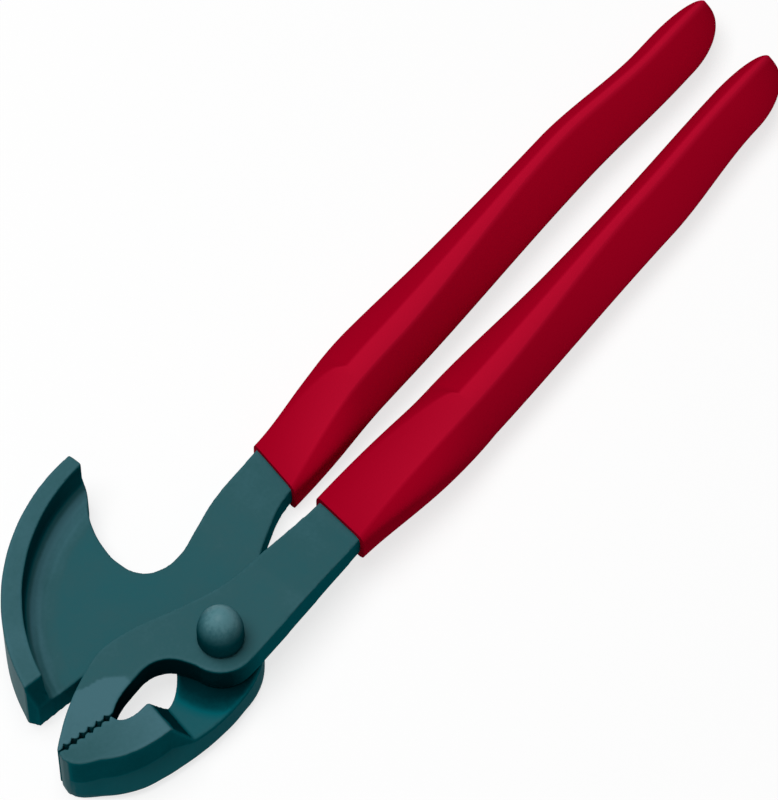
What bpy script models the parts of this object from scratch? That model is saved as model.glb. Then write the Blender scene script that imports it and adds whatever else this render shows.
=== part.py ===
"""Nail puller pliers: two forged levers lapped on a rivet, with dipped grips.

The tool lies flat with its back on z = 0. The rivet's axis is the Z axis, the jaws point to -X
and the handles to +X. The rocker lever carries the rolling head and the broad lower jaw, and the
jaw lever crosses in front of it with the slim upper jaw.
"""

import math

import bmesh
import bpy
import numpy as np
from mathutils import Matrix

MM = 0.001

# From the jaws' tip to the end of the longer grip
TOOL_LENGTH = 280.0 * MM

# Heights above the back face
JAW_THICKNESS = 17.5 * MM
RIM_RISE = 1.5 * MM
LAP_GAP = 0.3 * MM
ARM_RELIEF = 1.8 * MM
ARM_RELIEF_START = 22 * MM
ARM_RELIEF_END = 42 * MM

# Rocker: the head that rolls on the timber, with a raised rim round a thin web
ROCKER_RADIUS = 56.7 * MM
ROCKER_CENTRE_X = 10.6 * MM
ROCKER_CENTRE_Y = 6.1 * MM
HORN_ANGLE = math.radians(85.2)
ROCKER_END_ANGLE = math.radians(157.2)
RIM_WIDTH = 3.7 * MM
RIM_TAPER_X = 1.7 * MM
RIM_TAPER_Y = -0.7 * MM
RIM_END_SLOPE = 2.8 * MM
HEEL_CHAMFER_X = 1.3 * MM
HEEL_CHAMFER_Y = 2.9 * MM
WEB_FILLET = 3.0 * MM
RIM_END_ANGLE = math.radians(80)
RECESS_OVERRUN = math.radians(11)

# Jaws, which meet on a line through the rivet
PARTING_ANGLE = math.radians(12.4)
PARTING_GAP = 0.3 * MM
JAW_REACH = 50.3 * MM
NOSE_BULGE = 0.9 * MM
BITE_START = 34.0 * MM
TOOTH_PITCH = 2.5 * MM
TOOTH_COUNT = 6
TOOTH_DIAGONAL = 1.9 * MM
TOOTH_INSET = 1.4 * MM
MOUTH_MID = 8 * MM
LAP_EDGE = 14 * MM
STEP_FOOT = 19.5 * MM
STEP_TOP = 24.8 * MM
NOSE_BLOCK_RUN = 12 * MM

# The lower jaw's outer wall bulges to a flare where the dies met. Each row gives a point of the
# flare's edge, and how far the wall is drawn in from it at the back and above the flare
FLARE_HEIGHT = 2.5 * MM
FLARE_TOP = 7.2 * MM
FLARE_REACH = 1.0 * MM
LOWER_EDGE = [
    (-50.1 * MM, 7.05 * MM, 0.0 * MM, 0.5 * MM),
    (-46.0 * MM, 0.1 * MM, 0.8 * MM, 2.3 * MM),
    (-39.6 * MM, -5.9 * MM, 1.5 * MM, 3.2 * MM),
    (-32.0 * MM, -9.05 * MM, 1.2 * MM, 3.3 * MM),
    (-27.8 * MM, -10.2 * MM, 1.1 * MM, 3.6 * MM),
    (-22.4 * MM, -11.4 * MM, 1.0 * MM, 1.4 * MM),
    (-16.1 * MM, -12.3 * MM, 1.0 * MM, 0.9 * MM),
    (-6.9 * MM, -12.5 * MM, 0.9 * MM, 0.7 * MM),
    (2.0 * MM, -10.9 * MM, 0.3 * MM, 0.7 * MM),
    (8.6 * MM, -6.6 * MM, 0.0 * MM, 0.0 * MM),
]

# Rivet
SHANK_RADIUS = 4.5 * MM
BORE_CLEARANCE = 0.3 * MM
BOSS_RADIUS = 9.5 * MM
BOSS_START_ANGLE = math.radians(268)
BOSS_END_ANGLE = math.radians(182)
RIVET_HEAD_RADIUS = 5.9 * MM
RIVET_COLLAR = 3.6 * MM
RIVET_DOME = 8.6 * MM
RIVET_SEAT_GAP = 0.3 * MM
RIVET_TAIL_RADIUS = 6.6 * MM
RIVET_TAIL_DEPTH = 2.1 * MM

# Arms and the tangs that they end in
ROCKER_ARM_Y = 23.6 * MM
ROCKER_ARM_WIDTH = 14.2 * MM
JAW_ARM_Y = -1.2 * MM
JAW_ARM_WIDTH = 14.6 * MM
ARM_IN_GRIP = 14 * MM
TANG_ROOT = 6 * MM
TANG_SHORTFALL = 9 * MM

# Grips
GRIP_WALL = 1.5 * MM
GRIP_FIT = 0.3 * MM
HANDLE_MID_Y = 10.2 * MM
HANDLE_STAGGER = 3.2 * MM
GRIP_BELLY_SHARE = 0.4183
GRIP_BELLY_OFFSET = 13.7 * MM
GRIP_BELLY_WIDTH = 20.2 * MM
GRIP_BELLY_DEPTH = 16.4 * MM
GRIP_NECK_SHARE = 0.732
GRIP_NECK_OFFSET = 13.8 * MM
GRIP_NECK_WIDTH = 17.0 * MM
GRIP_NECK_DEPTH = 15.0 * MM
GRIP_TAIL_SHARE = 0.8976
GRIP_TAIL_OFFSET = 11.9 * MM
GRIP_TAIL_WIDTH = 15.0 * MM
GRIP_TAIL_DEPTH = 13.6 * MM
GRIP_CAP = 14 * MM
GRIP_CAP_LEAN = 2.6 * MM
ROCKER_GRIP_SEAM = 48.8 * MM
ROCKER_SEAM_SLANT = 0.24
JAW_GRIP_SEAM = 44.8 * MM
JAW_SEAM_SLANT = 0.14

# The grip's section: a flat front and back at the seam, which run out as wedges into a crest
GRIP_CORNER = 1.8 * MM
GRIP_CREST_SHARE = 0.487
FRONT_WEDGE_POWER = 1.4
BACK_WEDGE_POWER = 0.8

# How full the curve from crest to side is: 2 is an ellipse, larger is squarer
SEAM_FULLNESS = 6.0
BELLY_FULLNESS = 2.0
SLOPE_FULLNESS = 1.4

MERGE = 0.01 * MM
CURVE_STEPS = 5
ARC_POINTS = 9
FILLET_STEPS = 2
RING_POINTS = 28
BODY_RINGS = 20
CAP_RINGS = 6
TURN_STEPS = 40

# Sizes that follow from the ones above
ROCKER_GRIP_END = TOOL_LENGTH - JAW_REACH * math.cos(PARTING_ANGLE) - NOSE_BULGE
JAW_GRIP_END = ROCKER_GRIP_END - HANDLE_STAGGER
GRIP_BELLY_X = GRIP_BELLY_SHARE * ROCKER_GRIP_END
GRIP_NECK_X = GRIP_NECK_SHARE * ROCKER_GRIP_END
GRIP_TAIL_X = GRIP_TAIL_SHARE * ROCKER_GRIP_END
GRIP_CREST_X = GRIP_CREST_SHARE * ROCKER_GRIP_END
LAP_BACK = (JAW_THICKNESS - LAP_GAP) / 2
LAP_FRONT = (JAW_THICKNESS + LAP_GAP) / 2
HANDLE_MID_Z = JAW_THICKNESS / 2
RIM_TOP = JAW_THICKNESS + RIM_RISE
ROCKER_CENTRE = (ROCKER_CENTRE_X, ROCKER_CENTRE_Y)
CLEAR = 10 * MM
HEAD_SPAN = ROCKER_RADIUS + ROCKER_CENTRE_Y + CLEAR

SMOOTH = "AUTO"
CORNER = "VECTOR"


def clear_scene():
    for old in list(bpy.data.objects):
        bpy.data.objects.remove(old, do_unlink=True)


def collection(name):
    made = bpy.data.collections.new(name)
    bpy.context.scene.collection.children.link(made)
    return made


def material(name, colour, roughness, metallic):
    made = bpy.data.materials.new(name)
    made.use_nodes = True
    shader = made.node_tree.nodes["Principled BSDF"]
    shader.inputs["Base Color"].default_value = (*colour, 1)
    shader.inputs["Roughness"].default_value = roughness
    shader.inputs["Metallic"].default_value = metallic
    return made


def add_mesh(name, mesh, group):
    made = bpy.data.objects.new(name, mesh)
    group.objects.link(made)
    return made


def as_cutter(obj):
    obj.hide_render = True
    obj.display_type = "WIRE"
    return obj


def boolean(obj, other, operation="DIFFERENCE"):
    modifier = obj.modifiers.new(other.name, "BOOLEAN")
    modifier.operation = operation
    modifier.object = other
    modifier.solver = "EXACT"


def extruded(name, outline, low, high, group, round_edge=0.0):
    """A closed outline of (x, y, kind) points, extruded from low to high along Z."""
    curve = bpy.data.curves.new(name, "CURVE")
    curve.dimensions = "2D"
    curve.fill_mode = "BOTH"
    curve.resolution_u = CURVE_STEPS
    curve.extrude = (high - low) / 2 - round_edge
    curve.bevel_depth = round_edge
    curve.bevel_resolution = FILLET_STEPS
    spline = curve.splines.new("BEZIER")
    spline.bezier_points.add(len(outline) - 1)
    spline.use_cyclic_u = True
    for point, (x, y, kind) in zip(spline.bezier_points, outline):
        point.co = (x, y, 0)
        point.handle_left_type = kind
        point.handle_right_type = kind
    guide = add_mesh(name + "_outline", curve, group)
    graph = bpy.context.evaluated_depsgraph_get()
    mesh = bpy.data.meshes.new_from_object(guide.evaluated_get(graph))
    bpy.data.objects.remove(guide)
    shape = bmesh.new()
    shape.from_mesh(mesh)
    bmesh.ops.remove_doubles(shape, verts=shape.verts, dist=MERGE)
    bmesh.ops.translate(shape, verts=shape.verts, vec=(0, 0, (low + high) / 2))
    bmesh.ops.recalc_face_normals(shape, faces=shape.faces)
    shape.to_mesh(mesh)
    shape.free()
    return add_mesh(name, mesh, group)


def corners(*points):
    return [(x, y, CORNER) for x, y in points]


def smooth(*points):
    return [(x, y, SMOOTH) for x, y in points]


def on_circle(centre, radius, angle):
    return centre[0] + radius * math.cos(angle), centre[1] + radius * math.sin(angle)


def arc(centre, radius, start, end):
    return [on_circle(centre, radius, angle) for angle in np.linspace(start, end, ARC_POINTS)]


def shifted(point, dx, dy):
    return point[0] + dx, point[1] + dy


def at_jaw(along, across):
    """A point given along the parting line from the rivet, and across it towards the rocker."""
    c, s = math.cos(PARTING_ANGLE), math.sin(PARTING_ANGLE)
    return -along * c + across * s, along * s + across * c


def standing_profile(name, profile, near, far, turn, group):
    """A profile of (distance, height) corners, extruded across it from near to far, turned about Z."""
    made = extruded(name, corners(*profile), -far, -near, group)
    made.rotation_euler = (math.pi / 2, 0, turn)
    return made


def turned(name, profile, group):
    """A profile of (radius, height) points, from the top down, turned about the rivet's axis."""
    mesh = bpy.data.meshes.new(name)
    points = [(radius, 0, height) for radius, height in profile]
    mesh.from_pydata(points, [(i, i + 1) for i in range(len(points) - 1)], [])
    made = add_mesh(name, mesh, group)
    screw = made.modifiers.new("turn", "SCREW")
    screw.steps = TURN_STEPS
    screw.render_steps = TURN_STEPS
    screw.use_merge_vertices = True
    screw.merge_threshold = MERGE
    screw.use_smooth_shade = True
    return made


def box(name, low, high, group):
    shape = bmesh.new()
    bmesh.ops.create_cube(shape, size=1)
    size = [b - a for a, b in zip(low, high)]
    middle = [(a + b) / 2 for a, b in zip(low, high)]
    bmesh.ops.scale(shape, verts=shape.verts, vec=size)
    bmesh.ops.translate(shape, verts=shape.verts, vec=middle)
    mesh = bpy.data.meshes.new(name)
    shape.to_mesh(mesh)
    shape.free()
    return add_mesh(name, mesh, group)


def rocker_outline():
    """The back lever seen from the front: rocker, mouth, lower jaw, arm and throat."""
    horn = on_circle(ROCKER_CENTRE, ROCKER_RADIUS, HORN_ANGLE)
    heel = on_circle(ROCKER_CENTRE, ROCKER_RADIUS, ROCKER_END_ANGLE)
    rolling = arc(ROCKER_CENTRE, ROCKER_RADIUS, HORN_ANGLE, ROCKER_END_ANGLE)[1:-1]
    web_corner = shifted(heel, HEEL_CHAMFER_X, -HEEL_CHAMFER_Y)
    web_end = shifted(heel, 15.1 * MM, -5.1 * MM)
    half_gap = PARTING_GAP / 2
    bite_tip = at_jaw(JAW_REACH, -half_gap)
    low_y = ROCKER_ARM_Y - ROCKER_ARM_WIDTH / 2
    high_y = ROCKER_ARM_Y + ROCKER_ARM_WIDTH / 2
    arm_end = ROCKER_GRIP_SEAM + ARM_IN_GRIP
    return (
        corners(horn)
        + smooth(*rolling)
        + corners(heel, web_corner, web_end)
        + smooth(at_jaw(15.6 * MM, 15.0 * MM), at_jaw(10.6 * MM, 10.6 * MM), at_jaw(9.2 * MM, 7.8 * MM))
        + smooth(at_jaw(10.3 * MM, 5.2 * MM), at_jaw(12.6 * MM, 1.9 * MM), at_jaw(14.6 * MM, -0.4 * MM))
        + smooth(at_jaw(17.5 * MM, -2.7 * MM), at_jaw(20.0 * MM, -3.6 * MM))
        + corners(at_jaw(25.4 * MM, -2.9 * MM))
        + smooth(at_jaw(30.3 * MM, -3.3 * MM), at_jaw(BITE_START - 0.6 * MM, -1.9 * MM))
        + corners(at_jaw(BITE_START, -half_gap), bite_tip)
        + smooth(shifted(bite_tip, -NOSE_BULGE, -3.6 * MM))
        + smooth(*[(x, y) for x, y, _, _ in LOWER_EDGE[1:]])
        + smooth((15.5 * MM, 2.0 * MM), (25.5 * MM, 9.4 * MM))
        + smooth((35.0 * MM, low_y - 2.9 * MM), (ARM_RELIEF_END, low_y - 0.7 * MM))
        + corners((ROCKER_GRIP_SEAM, low_y), (arm_end, low_y))
        + corners((arm_end, high_y), (ROCKER_GRIP_SEAM, high_y))
        + smooth((32.4 * MM, high_y - 0.8 * MM), (22.9 * MM, high_y - 2.8 * MM))
        + smooth((15.0 * MM, high_y - 4.3 * MM), (8.8 * MM, high_y - 3.2 * MM), (5.0 * MM, high_y))
        + smooth((3.7 * MM, 37.2 * MM), (4.7 * MM, 42.4 * MM), (6.8 * MM, 47.5 * MM))
        + smooth(shifted(horn, -5.5 * MM, -10.6 * MM), shifted(horn, -1.7 * MM, -7.0 * MM))
        + smooth(shifted(horn, -0.2 * MM, -4.6 * MM), shifted(horn, 0.1 * MM, -2.0 * MM))
    )


def jaw_outline():
    """The front lever seen from the front: slim jaw, boss and arm."""
    half_gap = PARTING_GAP / 2
    bite_tip = at_jaw(JAW_REACH, half_gap)
    low_y = JAW_ARM_Y - JAW_ARM_WIDTH / 2
    high_y = JAW_ARM_Y + JAW_ARM_WIDTH / 2
    arm_end = JAW_GRIP_SEAM + ARM_IN_GRIP
    boss = arc((0, 0), BOSS_RADIUS, BOSS_START_ANGLE, BOSS_END_ANGLE)
    return (
        corners(bite_tip, shifted(bite_tip, 0.6 * MM, 0.7 * MM))
        + smooth(shifted(bite_tip, 3.4 * MM, 2.3 * MM), (-38.9 * MM, 16.6 * MM), (-29.6 * MM, 19.7 * MM))
        + smooth((-21.8 * MM, 21.1 * MM), (-12.7 * MM, 19.2 * MM), (0, BOSS_RADIUS + 4.2 * MM))
        + smooth((13.2 * MM, high_y + 2.9 * MM), (27.0 * MM, high_y + 1.4 * MM))
        + corners((JAW_GRIP_SEAM, high_y), (arm_end, high_y))
        + corners((arm_end, low_y), (JAW_GRIP_SEAM, low_y))
        + smooth((30.0 * MM, low_y - 0.4 * MM), (8.0 * MM, -BOSS_RADIUS))
        + smooth(*boss)
        + smooth(at_jaw(10.9 * MM, 0.6 * MM), at_jaw(12.7 * MM, 2.9 * MM), at_jaw(15.6 * MM, 4.7 * MM))
        + smooth(at_jaw(18.9 * MM, 5.3 * MM), at_jaw(23.2 * MM, 4.5 * MM), at_jaw(27.3 * MM, 3.4 * MM))
        + smooth(at_jaw(BITE_START - 3.2 * MM, 1.9 * MM))
        + corners(at_jaw(BITE_START - 0.6 * MM, half_gap))
    )


def flare_lower_edge(lever):
    """Draws the lower jaw's outer wall in, below and above the flare along it."""
    x_at, y_at, back_at, front_at = zip(*LOWER_EDGE)
    shape = bmesh.new()
    shape.from_mesh(lever.data)
    caps = [face for face in shape.faces if abs(face.normal.z) > 0.5]
    bmesh.ops.dissolve_faces(shape, faces=caps)
    for height in (FLARE_HEIGHT, FLARE_TOP):
        whole = shape.verts[:] + shape.edges[:] + shape.faces[:]
        bmesh.ops.bisect_plane(shape, geom=whole, plane_co=(0, 0, height), plane_no=(0, 0, 1))
    for vert in shape.verts:
        x, y, z = vert.co
        inside = x_at[0] < x < x_at[-1]
        if not inside or y > np.interp(x, x_at, y_at) + FLARE_REACH:
            continue
        levels = [np.interp(x, x_at, back_at), 0, np.interp(x, x_at, front_at)]
        drawn = np.interp(z, [0, FLARE_HEIGHT, FLARE_TOP], levels)
        slope = (np.interp(x + MM, x_at, y_at) - np.interp(x - MM, x_at, y_at)) / (2 * MM)
        vert.co.x -= drawn * slope / math.hypot(slope, 1)
        vert.co.y += drawn / math.hypot(slope, 1)
    shape.to_mesh(lever.data)
    shape.free()


def tooth_cutter(group):
    """Square prisms on edge along the parting line: each leaves a V groove in both jaws."""
    shape = bmesh.new()
    for index in range(TOOTH_COUNT):
        x, y = at_jaw(BITE_START + TOOTH_INSET + index * TOOTH_PITCH, 0)
        found = bmesh.ops.create_cone(
            shape,
            cap_ends=True,
            segments=4,
            radius1=TOOTH_DIAGONAL / 2,
            radius2=TOOTH_DIAGONAL / 2,
            depth=2 * RIM_TOP,
        )["verts"]
        bmesh.ops.rotate(shape, verts=found, matrix=Matrix.Rotation(-PARTING_ANGLE, 3, "Z"))
        bmesh.ops.translate(shape, verts=found, vec=(x, y, JAW_THICKNESS / 2))
    mesh = bpy.data.meshes.new("tooth_grooves")
    shape.to_mesh(mesh)
    shape.free()
    return as_cutter(add_mesh("tooth_grooves", mesh, group))


def bore_cutter(group):
    """The rivet's hole, with the countersink that its tail is set into."""
    radius = SHANK_RADIUS + BORE_CLEARANCE
    wide = RIVET_TAIL_RADIUS + BORE_CLEARANCE
    below = -CLEAR
    profile = [(0, RIM_TOP + CLEAR), (radius, RIM_TOP + CLEAR), (radius, RIVET_TAIL_DEPTH), (wide, 0)]
    profile += [(wide, below), (0, below)]
    return as_cutter(turned("rivet_bore", profile, group))


def ease(x, stations):
    """The value at x that eases from station to station, each a pair of (x, value)."""
    for (x0, v0), (x1, v1) in zip(stations, stations[1:]):
        if x <= x1:
            t = max(0.0, (x - x0) / (x1 - x0))
            return v0 + (v1 - v0) * t * t * (3 - 2 * t)
    return stations[-1][1]


class Handle:
    """The shape that one handle's tang and grip share."""

    def __init__(self, seam, slant, end, arm_y, arm_width, arm_low, arm_high, side):
        cover = GRIP_FIT + GRIP_WALL
        self.seam, self.slant, self.end = seam, slant, end
        self.arm_y, self.arm_width = arm_y, arm_width
        self.arm_low, self.arm_high = arm_low, arm_high
        seam_z = (arm_low + arm_high) / 2
        across = [GRIP_BELLY_OFFSET, GRIP_NECK_OFFSET, GRIP_TAIL_OFFSET]
        places = [HANDLE_MID_Y + side * offset for offset in across]
        self.y = self.stations([arm_y] + places)
        self.z = self.stations([seam_z] + [HANDLE_MID_Z] * 3)
        widths = [GRIP_BELLY_WIDTH, GRIP_NECK_WIDTH, GRIP_TAIL_WIDTH]
        depths = [GRIP_BELLY_DEPTH, GRIP_NECK_DEPTH, GRIP_TAIL_DEPTH]
        self.half_width = self.stations([arm_width / 2 + cover] + [width / 2 for width in widths])
        self.half_depth = self.stations([(arm_high - arm_low) / 2 + cover] + [depth / 2 for depth in depths])

    def stations(self, values):
        return list(zip([self.seam, GRIP_BELLY_X, GRIP_NECK_X, GRIP_TAIL_X], values))

    def ring(self, x, inset, shrink):
        """The section at x, drawn in by inset all round and shrunk towards the cap's tip."""
        wide = (ease(x, self.half_width) - inset) * shrink
        deep = (ease(x, self.half_depth) - inset) * shrink
        lean = GRIP_CAP_LEAN * (1 - shrink)
        fade = ease(x, [(self.seam, 1.0), (GRIP_BELLY_X, 0.0)])
        fullness = ease(x, [(self.seam, SEAM_FULLNESS), (GRIP_BELLY_X, BELLY_FULLNESS)])
        left = min(1.0, max(0.0, (GRIP_CREST_X - x) / (GRIP_CREST_X - self.seam)))
        points = []
        for index in range(RING_POINTS):
            angle = 2 * math.pi * (index + 0.5) / RING_POINTS
            c, s = math.cos(angle), math.sin(angle)
            wedge = left ** (FRONT_WEDGE_POWER if s > 0 else BACK_WEDGE_POWER)
            flat = max(0.0, wide - GRIP_CORNER) * wedge
            y = math.copysign(flat + (wide - flat) * abs(c) ** (2 / SLOPE_FULLNESS), c)
            z = math.copysign(abs(s) ** (2 / fullness), s) * deep
            along = x + self.slant * fade * y
            points.append((along, ease(x, self.y) + lean + y, ease(x, self.z) + z))
        return points

    def loft(self, name, start, end, inset, group):
        """A closed body through the sections from start to a rounded end."""
        cap = GRIP_CAP - inset
        rings = [self.ring(x, inset, 1.0) for x in np.linspace(start, end - cap, BODY_RINGS)]
        for turn in np.linspace(0, math.pi / 2, CAP_RINGS + 1)[1:-1]:
            rings.append(self.ring(end - cap + cap * math.sin(turn), inset, math.cos(turn)))
        shape = bmesh.new()
        loops = [[shape.verts.new(point) for point in ring] for ring in rings]
        for near, far in zip(loops, loops[1:]):
            for i in range(RING_POINTS):
                j = (i + 1) % RING_POINTS
                shape.faces.new((near[i], near[j], far[j], far[i]))
        shape.faces.new(loops[0][::-1])
        shape.faces.new(loops[-1])
        bmesh.ops.recalc_face_normals(shape, faces=shape.faces)
        mesh = bpy.data.meshes.new(name)
        shape.to_mesh(mesh)
        shape.free()
        return add_mesh(name, mesh, group)

    def tang(self, name, clearance, group):
        """The tang that runs on from the arm inside the grip."""
        root = self.seam + ARM_IN_GRIP - TANG_ROOT
        inset = GRIP_WALL + GRIP_FIT - clearance
        return self.loft(name, root, self.end - TANG_SHORTFALL + clearance, inset, group)

    def arm_pocket(self, name, group):
        """The room that the end of the arm takes in the grip, with the fit round it."""
        half = self.arm_width / 2 + GRIP_FIT
        low = (self.seam - CLEAR, self.arm_y - half, self.arm_low - GRIP_FIT)
        high = (self.seam + ARM_IN_GRIP + GRIP_FIT, self.arm_y + half, self.arm_high + GRIP_FIT)
        return box(name, low, high, group)


def make_rocker_lever(handle, parts, cutters, shared):
    lever = extruded("rocker_lever", rocker_outline(), 0, RIM_TOP, parts)
    flare_lower_edge(lever)
    centre = shifted(ROCKER_CENTRE, RIM_TAPER_X, RIM_TAPER_Y)
    inner = ROCKER_RADIUS - RIM_WIDTH - WEB_FILLET
    far_x = handle.end
    low_y = -BOSS_RADIUS - CLEAR
    recess = (
        smooth(*arc(centre, inner, HORN_ANGLE - RECESS_OVERRUN, ROCKER_END_ANGLE + RECESS_OVERRUN))
        + corners(at_jaw(BITE_START, MOUTH_MID), at_jaw(LAP_EDGE, MOUTH_MID / 2), at_jaw(LAP_EDGE, low_y))
        + corners((far_x, low_y), (far_x, HEAD_SPAN))
    )
    cut_web = extruded("web_recess", recess, LAP_BACK, RIM_TOP + CLEAR, cutters, WEB_FILLET)
    over = RIM_TOP + CLEAR
    nose = [(-STEP_FOOT, LAP_BACK), (-STEP_TOP, JAW_THICKNESS), (-JAW_REACH - CLEAR, JAW_THICKNESS)]
    nose += [(-JAW_REACH - CLEAR, over), (-CLEAR, over), (-CLEAR, LAP_BACK)]
    cut_nose = standing_profile("nose_step", nose, -HEAD_SPAN, MOUTH_MID, -PARTING_ANGLE, cutters)
    relief = [(ARM_RELIEF_START, 0), (ARM_RELIEF_END, ARM_RELIEF), (far_x, ARM_RELIEF)]
    relief += [(far_x, -CLEAR), (ARM_RELIEF_START, -CLEAR)]
    cut_back = standing_profile("arm_back_relief", relief, -HEAD_SPAN, HEAD_SPAN, 0, cutters)
    heel = on_circle(ROCKER_CENTRE, ROCKER_RADIUS, ROCKER_END_ANGLE)
    slope = [(-CLEAR, LAP_BACK), (0, LAP_BACK), (RIM_END_SLOPE, RIM_TOP), (2 * RIM_END_SLOPE, over)]
    slope += [(-CLEAR, over)]
    cut_heel = standing_profile("rim_end", slope, -CLEAR, CLEAR, RIM_END_ANGLE, cutters)
    cut_heel.location = (*shifted(heel, HEEL_CHAMFER_X, -HEEL_CHAMFER_Y), 0)
    for cutter in (cut_web, cut_nose, cut_back, cut_heel):
        boolean(lever, as_cutter(cutter))
    for cutter in shared:
        boolean(lever, cutter)
    boolean(lever, as_cutter(handle.tang("rocker_tang", 0, cutters)), "UNION")
    return lever


def make_jaw_lever(handle, parts, cutters, shared):
    lever = extruded("jaw_lever", jaw_outline(), 0, JAW_THICKNESS, parts)
    far_x = handle.end
    low_y = -BOSS_RADIUS - CLEAR
    recess = corners(
        at_jaw(BITE_START + NOSE_BLOCK_RUN, NOSE_BLOCK_RUN),
        at_jaw(BITE_START, -PARTING_GAP),
        at_jaw(BITE_START, low_y),
        (far_x, low_y),
        (far_x, HEAD_SPAN),
        at_jaw(BITE_START + NOSE_BLOCK_RUN, HEAD_SPAN),
    )
    cut_lap = extruded("jaw_lap", recess, -CLEAR, LAP_FRONT, cutters)
    over = JAW_THICKNESS + CLEAR
    relief = [(ARM_RELIEF_START, JAW_THICKNESS), (ARM_RELIEF_START, over), (far_x, over)]
    relief += [(far_x, JAW_THICKNESS - ARM_RELIEF), (ARM_RELIEF_END, JAW_THICKNESS - ARM_RELIEF)]
    cut_front = standing_profile("arm_front_relief", relief, -HEAD_SPAN, HEAD_SPAN, 0, cutters)
    for cutter in (cut_lap, cut_front):
        boolean(lever, as_cutter(cutter))
    for cutter in shared:
        boolean(lever, cutter)
    boolean(lever, as_cutter(handle.tang("jaw_tang", 0, cutters)), "UNION")
    return lever


def make_rivet(parts):
    """A solid rivet: domed head in front, shank, and a tail set flush into the back."""
    seat = JAW_THICKNESS + RIVET_SEAT_GAP
    shoulder = seat + RIVET_COLLAR
    profile = []
    for angle in np.linspace(math.pi / 2, 0, ARC_POINTS):
        profile.append((RIVET_HEAD_RADIUS * math.cos(angle), shoulder + RIVET_DOME * math.sin(angle)))
    profile[0] = (0, shoulder + RIVET_DOME)
    profile += [(RIVET_HEAD_RADIUS, seat), (SHANK_RADIUS, seat), (SHANK_RADIUS, RIVET_TAIL_DEPTH)]
    profile += [(RIVET_TAIL_RADIUS, 0), (0, 0)]
    return turned("pivot_rivet", profile, parts)


def make_grip(name, handle, parts, cutters):
    grip = handle.loft(name, handle.seam, handle.end, 0, parts)
    boolean(grip, as_cutter(handle.arm_pocket(name + "_pocket", cutters)))
    boolean(grip, as_cutter(handle.tang(name + "_core", GRIP_FIT, cutters)))
    return grip


def main():
    clear_scene()
    parts = collection("nail_puller_pliers")
    cutters = collection("cutters")
    steel = material("forged steel, dark finish", (0.027, 0.105, 0.12), 0.5, 0.3)
    rivet_steel = material("rivet steel, dark finish", (0.024, 0.09, 0.1), 0.45, 0.4)
    vinyl = material("red dipped vinyl", (0.33, 0.0, 0.012), 0.4, 0.0)
    rocker_handle = Handle(
        ROCKER_GRIP_SEAM, ROCKER_SEAM_SLANT, ROCKER_GRIP_END, ROCKER_ARM_Y, ROCKER_ARM_WIDTH,
        ARM_RELIEF, LAP_BACK, 1,
    )
    jaw_handle = Handle(
        JAW_GRIP_SEAM, JAW_SEAM_SLANT, JAW_GRIP_END, JAW_ARM_Y, JAW_ARM_WIDTH,
        LAP_FRONT, JAW_THICKNESS - ARM_RELIEF, -1,
    )
    shared = [bore_cutter(cutters), tooth_cutter(cutters)]
    rocker = make_rocker_lever(rocker_handle, parts, cutters, shared)
    jaw = make_jaw_lever(jaw_handle, parts, cutters, shared)
    rivet = make_rivet(parts)
    rocker_grip = make_grip("rocker_lever_grip", rocker_handle, parts, cutters)
    jaw_grip = make_grip("jaw_lever_grip", jaw_handle, parts, cutters)
    hinge = bpy.data.objects.new("rivet_axis", None)
    parts.objects.link(hinge)
    for obj in (jaw, jaw_grip):
        obj.parent = hinge
    for obj, finish in (
        (rocker, steel),
        (jaw, steel),
        (rivet, rivet_steel),
        (rocker_grip, vinyl),
        (jaw_grip, vinyl),
    ):
        obj.data.materials.append(finish)
    for obj in (rocker_grip, jaw_grip):
        obj.data.shade_smooth()


main()
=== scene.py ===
"""Nail puller pliers: the finished pieces, their materials, the light and the camera."""

import math

import bmesh
import bpy
import numpy as np
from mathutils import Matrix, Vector


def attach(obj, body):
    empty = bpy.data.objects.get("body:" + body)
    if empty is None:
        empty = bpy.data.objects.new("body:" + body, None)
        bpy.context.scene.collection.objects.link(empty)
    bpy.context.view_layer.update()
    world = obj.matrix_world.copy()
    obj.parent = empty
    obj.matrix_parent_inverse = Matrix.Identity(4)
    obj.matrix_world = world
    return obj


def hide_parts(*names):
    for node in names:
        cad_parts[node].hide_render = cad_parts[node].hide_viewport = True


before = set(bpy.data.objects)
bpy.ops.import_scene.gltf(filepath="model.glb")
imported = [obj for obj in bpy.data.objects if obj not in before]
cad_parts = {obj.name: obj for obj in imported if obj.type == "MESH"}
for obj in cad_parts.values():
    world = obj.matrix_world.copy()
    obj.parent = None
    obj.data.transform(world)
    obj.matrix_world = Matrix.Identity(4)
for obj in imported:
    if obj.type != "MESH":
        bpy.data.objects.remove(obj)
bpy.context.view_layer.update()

MM = 0.001

# Head. The jaws meet on a parting line through the rivet, turned by this angle from the tool's
# length. Places along it count from the rivet to the jaws' tips, and across it to the rocker.
PARTING_ANGLE = math.radians(12.4)
LAP_START = -12.0 * MM
STEP_TOP = 24.0 * MM
BITE_START = 34.0 * MM
JAW_TIP = 50.0 * MM
NOSE_END = JAW_TIP - 8.0 * MM
LAP_WIDTH = 6.0 * MM
# Heights above the flat back
FLARE_TOP = 7.2 * MM
LAP_HEIGHT = 8.6 * MM
JAW_THICKNESS = 17.5 * MM
RIM_TOP = 19.0 * MM
# The rocker is round about this centre, and rolls on its edge beyond this radius
RIM_CENTRE = Vector((10.6, 6.1, 0.0)) * MM
ROLL_RADIUS = 54.0 * MM

TOOTH_SIZES = {
    "Count": 6,
    "Pitch": 2.5 * MM,
    "First": BITE_START + 1.4 * MM,
    "Diagonal": 2.1 * MM,
    "Length": 2 * RIM_TOP,
    "Parting Angle": PARTING_ANGLE,
}

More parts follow.
